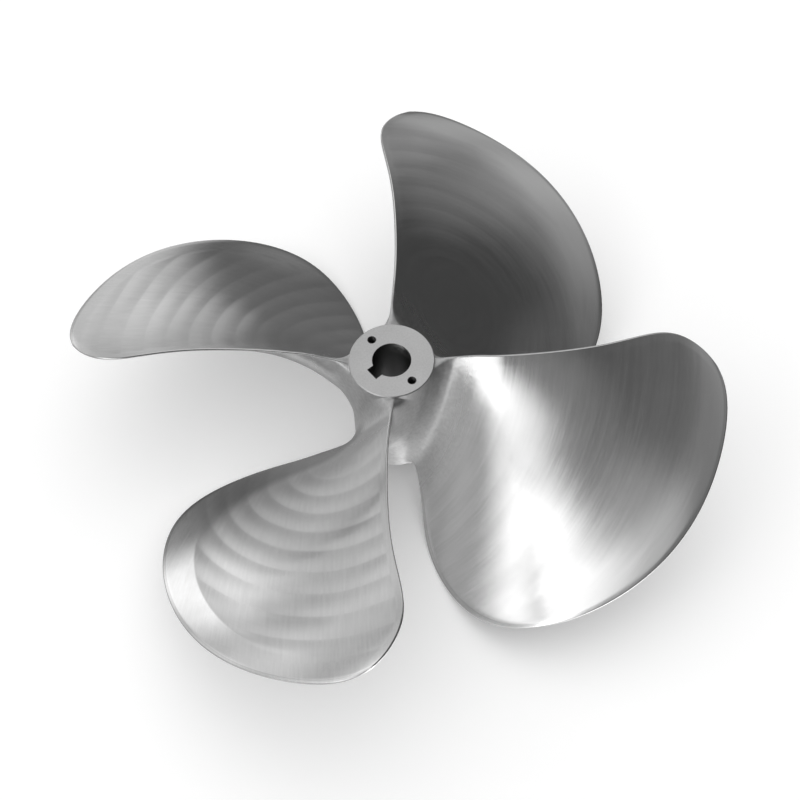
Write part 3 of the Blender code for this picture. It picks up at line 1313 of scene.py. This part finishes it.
@dataclass(frozen=True)
class TurnedSteel:
    """A face or bore cut on the lathe, in fine rings round the shaft."""

    colour: float = 0.72
    roughness: float = 0.42
    ring_spacing: float = 0.0005
    ring_noise: Mottle = Mottle(1.0, 2.0, 0.6)
    ring_depth: float = 0.000012
    ring_shade: float = 0.10
    along_shaft: bool = False
    speckle_noise: Mottle = Mottle(420.0, 3.0, 0.6)
    speckle_shade: float = 0.30
    speckle_roughness: float = 0.12
    cloud_noise: Mottle = Mottle(38.0)
    cloud_shade: float = 0.16
    # Painted light: a lighter patch on the bore's wall just inside its mouth, on the side where light falls
    # in.
    mouth: float | None = None
    mouth_light_depth: float = 0.026
    mouth_light_at: float = math.radians(58.0)
    mouth_light_spread: float = math.radians(52.0)
    mouth_light_noise: Mottle = Mottle(95.0)
    mouth_light_where: Range = (0.35, 0.60)
    mouth_light_share: Range = (0.25, 1.0)
    mouth_painted_light: float = 5.5
    mouth_light_roughness: float = 0.35

    def mouth_light(self, g: MetalGraph) -> object:
        """How much painted light falls on a bore's wall just inside its mouth.

        Args:
            g: the finish's node tree.

        Returns:
            A share, or 0 where no mouth is given.
        """
        if self.mouth is None:
            return 0.0
        aside = g.sum("ABSOLUTE", g.sum("SUBTRACT", g.bearing, self.mouth_light_at))
        return g.times(
            g.fall(aside, (0.0, self.mouth_light_spread)),
            g.rise(g.height_on_shaft, (self.mouth - self.mouth_light_depth, self.mouth)),
            g.scale(g.noise(g.place, self.mouth_light_noise), self.mouth_light_where, self.mouth_light_share),
        )

    def material(self, name: str) -> bpy.types.Material:
        """The finish as a material.

        Args:
            name: the material's name.

        Returns:
            The material.
        """
        g = MetalGraph(name)
        travel = g.height_on_shaft if self.along_shaft else g.radius
        line = g.add("CombineXYZ", g.sum("DIVIDE", travel, self.ring_spacing)).outputs[0]
        rings = g.unevenness(line, self.ring_noise)
        speckle = g.unevenness(g.place, self.speckle_noise)
        mouth_light = self.mouth_light(g)
        shade = g.plus(
            1.0,
            g.times(speckle, self.speckle_shade),
            g.times(g.unevenness(g.place, self.cloud_noise), self.cloud_shade),
            g.times(rings, self.ring_shade),
            # Painted light just inside the bore's mouth.
            g.times(mouth_light, self.mouth_painted_light),
        )
        rough = g.plus(self.roughness, g.times(speckle, self.speckle_roughness),
                       g.times(mouth_light, self.mouth_light_roughness))
        return g.finished(g.times(shade, self.colour), rough, g.times(rings, self.ring_depth))


@dataclass(frozen=True)
class Glow:
    """A soft patch of light in the studio's surroundings."""

    azimuth: float
    elevation: float
    reach: float
    strength: float

    def direction(self) -> tuple[float, float, float]:
        """Where it lies.

        Returns:
            A unit vector.
        """
        azimuth, elevation = math.radians(self.azimuth), math.radians(self.elevation)
        flat = math.cos(elevation)
        return flat * math.cos(azimuth), flat * math.sin(azimuth), math.sin(elevation)


@dataclass
class Studio:
    """A pale floor, soft light and the photograph's viewpoint."""

    aft: float
    elevation: float = math.radians(59.94)
    roll: float = math.radians(-2.21)
    lens: float = 57.4
    nearest_seen: float = 0.010
    stand: tuple[float, float, float] = (0.0081, -0.8037, 1.2926)
    ambient: float = 0.062
    glows: Sequence[Glow] = (
        Glow(-111, 9, 18, 1.15), Glow(-124, 23, 19, 0.95), Glow(-146, 36, 16, 0.75),
        Glow(-162, 38, 20, 0.85), Glow(-172, 50, 22, 0.48), Glow(-108, 34, 26, 0.17),
        Glow(-155, 0, 60, 0.36), Glow(-150, 64, 22, 0.28), Glow(-100, -46, 60, 0.50),
        Glow(-28, -54, 27, 1.75), Glow(-62, -42, 25, 1.20), Glow(157, 38, 21, 0.36),
        Glow(143, 5, 41, 0.52), Glow(124, 16, 15, 0.60), Glow(122, -38, 32, 0.26),
        Glow(97, 14, 23, 0.56), Glow(95, -8, 18, 0.32), Glow(155, -36, 26, 0.20),
        Glow(150, -70, 34, 0.25), Glow(70, -12, 40, 0.10), Glow(90, 62, 34, 0.60),
        Glow(30, 62, 34, 0.20), Glow(38, 36, 28, 0.14), Glow(-38, 38, 20, 0.05),
        Glow(56, 26, 18, 0.16), Glow(0, 90, 50, 0.10),
    )
    backdrop: float = 1.0
    floor_size: float = 30.0
    floor_colour: float = 0.90
    floor_glow: float = 0.16
    floor_roughness: float = 0.9
    overhead_strength: float = 1.75
    overhead_angle: float = math.radians(110.0)

    def camera(self) -> None:
        """Stand the camera where the photographer stood."""
        forward = Vector((0.0, math.cos(self.elevation), -math.sin(self.elevation)))
        upward = Vector((0.0, math.sin(self.elevation), math.cos(self.elevation)))
        sideways = Vector((1.0, 0.0, 0.0))
        right = math.cos(self.roll) * sideways + math.sin(self.roll) * upward
        above = math.cos(self.roll) * upward - math.sin(self.roll) * sideways
        data = bpy.data.cameras.new("camera")
        data.lens = self.lens
        data.sensor_width = SENSOR_MM
        data.clip_start = self.nearest_seen
        camera = bpy.data.objects.new("camera", data)
        turned = Matrix((right, above, -forward)).transposed().to_4x4()
        camera.matrix_world = Matrix.Translation(Vector(self.stand) + Vector((0.0, 0.0, self.aft))) @ turned
        bpy.context.scene.collection.objects.link(camera)
        bpy.context.scene.camera = camera

    def light(self) -> None:
        """Set the surroundings, seen plain by the camera and as soft patches of light by the metal."""
        world = bpy.data.worlds.new("studio")
        bpy.context.scene.world = world
        world.use_nodes = True
        g = Graph(world.node_tree)
        toward = g.add("TexCoord").outputs["Generated"]
        total: object = self.ambient
        for glow in self.glows:
            facing = g.add("VectorMath", toward, glow.direction(), operation="DOT_PRODUCT").outputs["Value"]
            edge = math.cos(math.radians(glow.reach))
            patch = g.scale(facing, (edge, 1.0), (0.0, glow.strength), smooth=True)
            total = g.sum("ADD", patch, total)
        studio = g.add("Background", total)
        plain = g.add("Background", (self.backdrop, self.backdrop, self.backdrop, 1.0))
        seen = g.add("LightPath").outputs["Is Camera Ray"]
        both = g.add("MixShader", seen, studio.outputs[0], plain.outputs[0])
        g.add("OutputWorld", both.outputs[0])

    def floor(self) -> None:
        """Lay the floor that the propeller stands on."""
        half = self.floor_size / 2
        mesh = bpy.data.meshes.new("floor")
        mesh.from_pydata([(-half, -half, 0), (half, -half, 0), (half, half, 0), (-half, half, 0)], [],
                         [(0, 1, 2, 3)])
        material = bpy.data.materials.new("pale_floor")
        material.use_nodes = True
        shader = material.node_tree.nodes["Principled BSDF"]
        shader.inputs["Base Color"].default_value = (*[self.floor_colour] * 3, 1.0)
        shader.inputs["Roughness"].default_value = self.floor_roughness
        shader.inputs["Emission Color"].default_value = (1.0, 1.0, 1.0, 1.0)
        shader.inputs["Emission Strength"].default_value = self.floor_glow
        mesh.materials.append(material)
        floor = bpy.data.objects.new("floor", mesh)
        floor.visible_glossy = False
        bpy.context.scene.collection.objects.link(floor)

    def overhead(self) -> None:
        """Hang a wide soft light that brightens the floor alone."""
        data = bpy.data.lights.new("overhead", "SUN")
        data.energy = self.overhead_strength
        data.angle = self.overhead_angle
        lamp = bpy.data.objects.new("overhead", data)
        lamp.visible_glossy = False
        bpy.context.scene.collection.objects.link(lamp)

    def set_up(self) -> None:
        """Make the camera, the light and the floor."""
        bpy.context.scene.view_settings.view_transform = "Standard"
        self.camera()
        self.light()
        self.floor()
        self.overhead()


def main() -> None:
    """Build the propeller and its studio."""
    logging.basicConfig(level=logging.INFO, format="%(message)s")
    aft = mount_height("hub_aft_face")
    hub = Hub(aft=aft, forward=mount_height("hub_forward_face"))
    blade = Blade(hub_radius=hub.radius, aft_height=aft)
    mesh = Casting(hub, blade).build()
    piece = bpy.data.objects.new("propeller_casting", mesh)
    bpy.context.scene.collection.objects.link(piece)
    # Painted shade: the bore and the tapped holes get a dark steel colour for the shade inside them.
    tapped = TurnedSteel(colour=0.13, roughness=0.45, along_shaft=True)
    for finish in (GroundSteel(), TurnedSteel(), replace(tapped, mouth=aft), tapped):
        mesh.materials.append(finish.material(type(finish).__name__))
    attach(piece, "root")
    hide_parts(NODE)
    LOG.info("casting: %d vertices, %d faces", len(mesh.vertices), len(mesh.polygons))
    Studio(aft).set_up()


if __name__ == "__main__":
    main()
